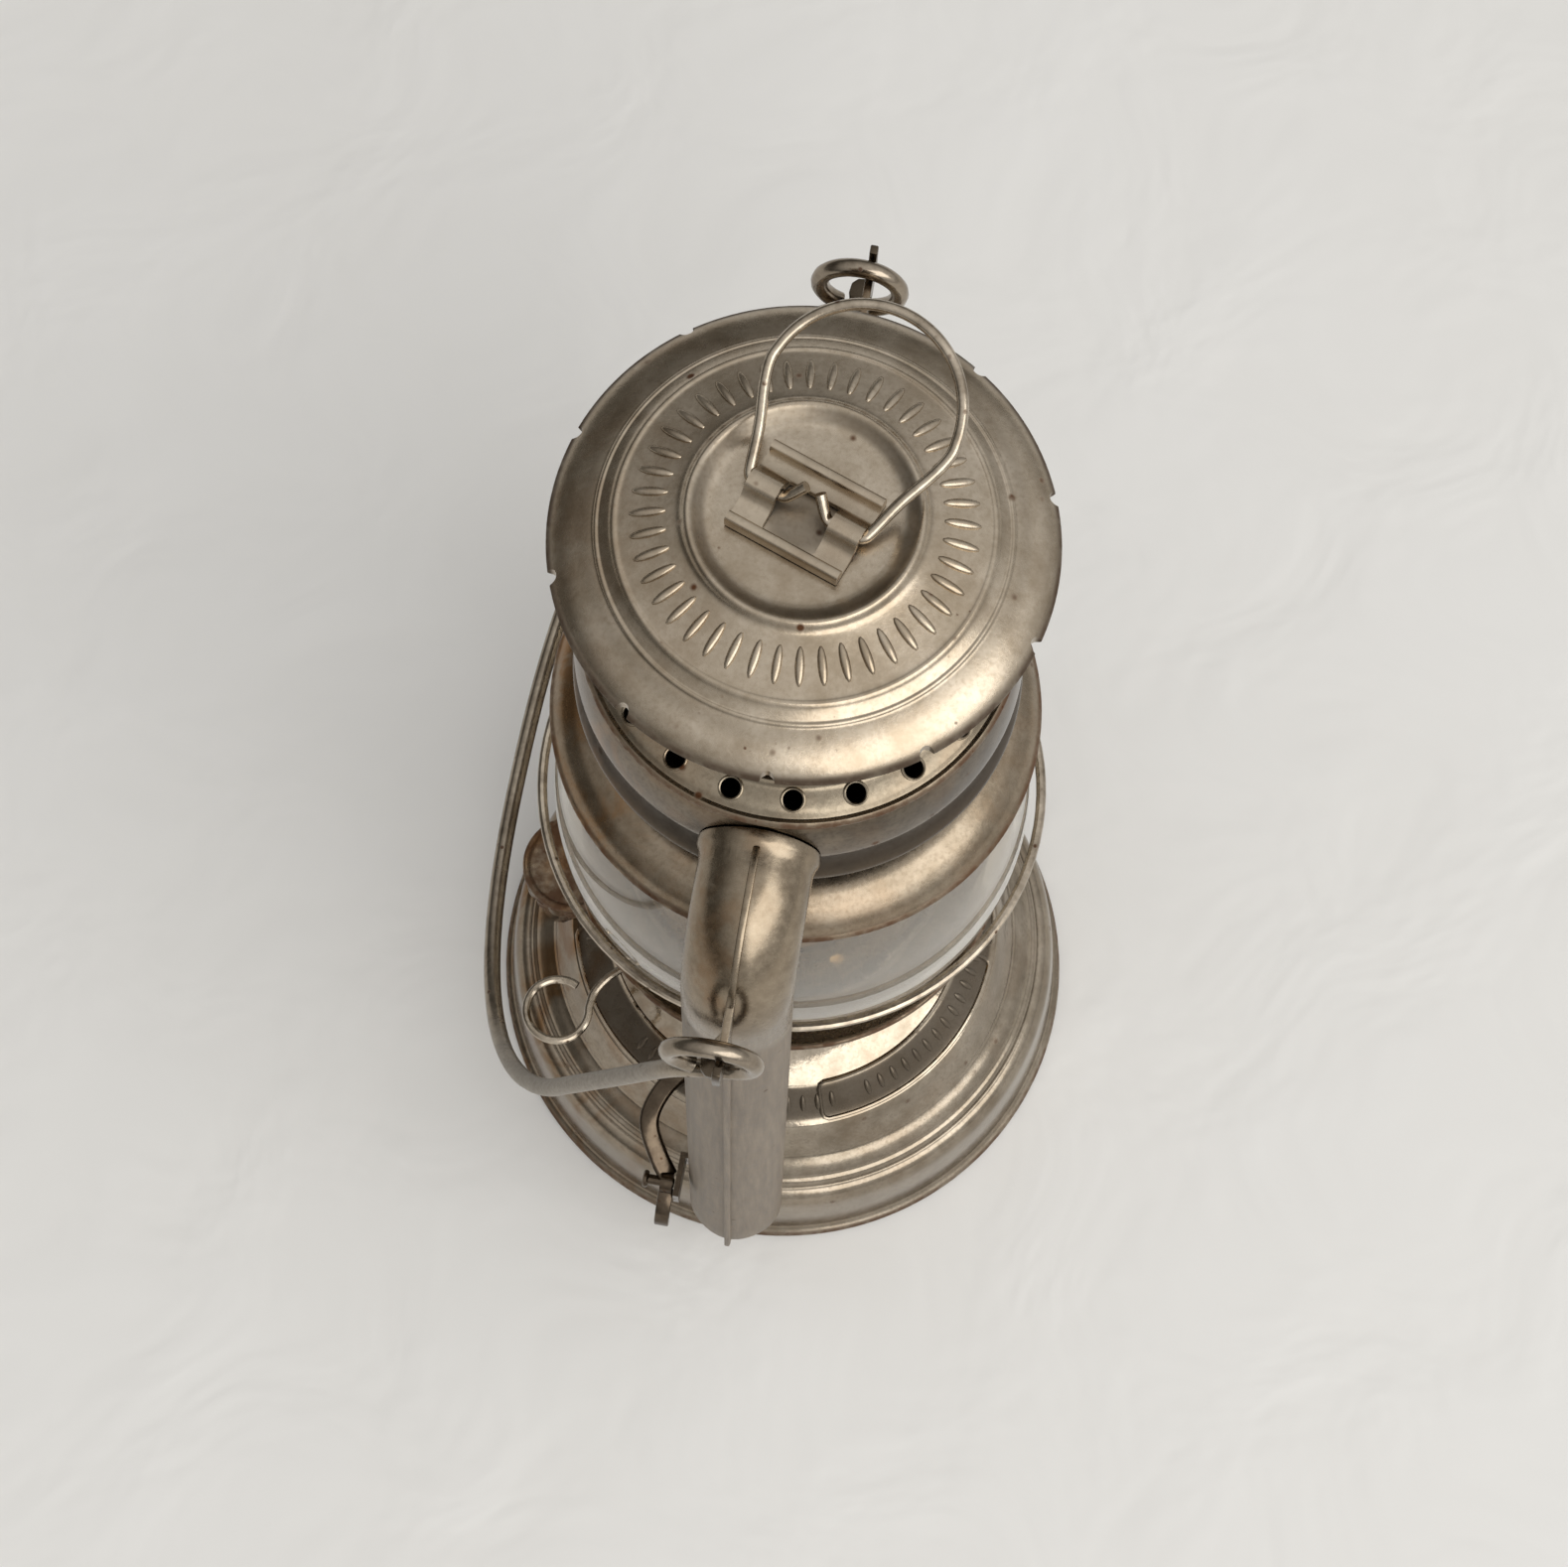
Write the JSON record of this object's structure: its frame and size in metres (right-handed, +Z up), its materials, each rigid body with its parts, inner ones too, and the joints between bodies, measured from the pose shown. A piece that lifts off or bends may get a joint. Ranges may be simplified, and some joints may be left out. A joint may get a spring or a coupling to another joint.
{
  "type": "kerosene lantern",
  "caption": "Cold-air kerosene lantern: tank, side tubes, glass globe on a lifting plate, sprung hood with pull ring, wick raiser, lift lever and swinging bail.",
  "frame": {"origin": "centre of the flat panel under the tank, level with the surface that the lantern stands on", "axes": "+Z up through the globe and the hood, the tubes along Y with the lift lever beside the tube at -Y, the filler cap at -X"},
  "size_m": [0.13, 0.1492, 0.2846],
  "materials": {
    "bright_tin": "satin tinned sheet, a little tarnished",
    "dull_zinc": "dull, scratched",
    "wire_steel": "satin wire with rust specks",
    "brass": "tarnished",
    "clear_glass": "clear, slightly hazy",
    "cork": "cork",
    "cotton": "woven cotton"
  },
  "bodies": {
    "frame": {"tank_shell": "bright_tin", "tank_bottom": "bright_tin", "filler_neck": "bright_tin", "front_tube": "dull_zinc", "rear_tube": "dull_zinc", "crown_shell": "bright_tin", "crown_plate": "bright_tin", "guard_ring": "wire_steel", "hood_spring": "wire_steel", "burner_body": "brass", "burner_cone": "brass", "wick_tube": "brass", "lever_bracket": "wire_steel", "lever_pin": "wire_steel"},
    "lift_lever": {"lift_lever": "wire_steel"},
    "globe_set": {"globe": "clear_glass", "globe_plate": "bright_tin"},
    "hood_set": {"hood": "bright_tin", "chimney": "bright_tin", "globe_cap": "bright_tin", "hood_clip": "bright_tin"},
    "pull_ring": {"pull_ring": "wire_steel"},
    "bail": {"bail": "wire_steel"},
    "wick_raiser": {"wick_raiser": "wire_steel"},
    "wick": {"wick": "cotton"},
    "filler_seal": {"filler_seal": "cork"},
    "filler_cap": {"filler_cap": "bright_tin"}
  },
  "joints": [
    {"name": "lever_swing", "type": "hinge", "parent": "frame", "child": "lift_lever", "pos_m": [-0.014, -0.0646, 0.05], "axis": [1, 0, 0], "range_deg": [0, 15.5]},
    {"name": "globe_lift", "type": "slide", "parent": "frame", "child": "globe_set", "axis": [0, 0, 1], "range_m": [0, 0.0073], "deforming": ["hood_spring"]},
    {"name": "hood_lift", "type": "slide", "parent": "globe_set", "child": "hood_set", "axis": [0, 0, 1], "range_m": [0, 0.0062], "stiffness_N_per_m": 120, "springref_m": -0.01, "deforming": ["hood_spring"]},
    {"name": "pull_ring_swing", "type": "hinge", "parent": "hood_set", "child": "pull_ring", "pos_m": [0, 0, 0.2717], "axis": [0.9397, -0.342, 0], "range_deg": [-2, 113]},
    {"name": "bail_swing", "type": "hinge", "parent": "frame", "child": "bail", "pos_m": [-0.0016, 0, 0.208], "axis": [0, 1, 0], "range_deg": [-3, 300]},
    {"name": "raiser_turn", "type": "hinge", "parent": "frame", "child": "wick_raiser", "pos_m": [-0.00292, 0.00302, 0.066], "axis": [-0.7193, -0.6947, 0], "range_deg": [-130, 170]},
    {"name": "wick_feed", "type": "slide", "parent": "frame", "child": "wick", "axis": [0, 0, 1], "range_m": [-0.0058, 0.0076]},
    {"name": "cap_off", "type": "slide", "parent": "frame", "child": "filler_seal", "axis": [0, 0, 1], "range_m": [0, 0.02]},
    {"name": "cap_turn", "type": "hinge", "parent": "filler_seal", "child": "filler_cap", "pos_m": [-0.0475, 0, 0.05], "axis": [0, 0, 1], "continuous": true}
  ],
  "couplings": [
    {"joint": "lever_swing", "follows": "globe_lift", "rad_per_m": 37},
    {"joint": "raiser_turn", "follows": "wick_feed", "rad_per_m": 385}
  ]
}
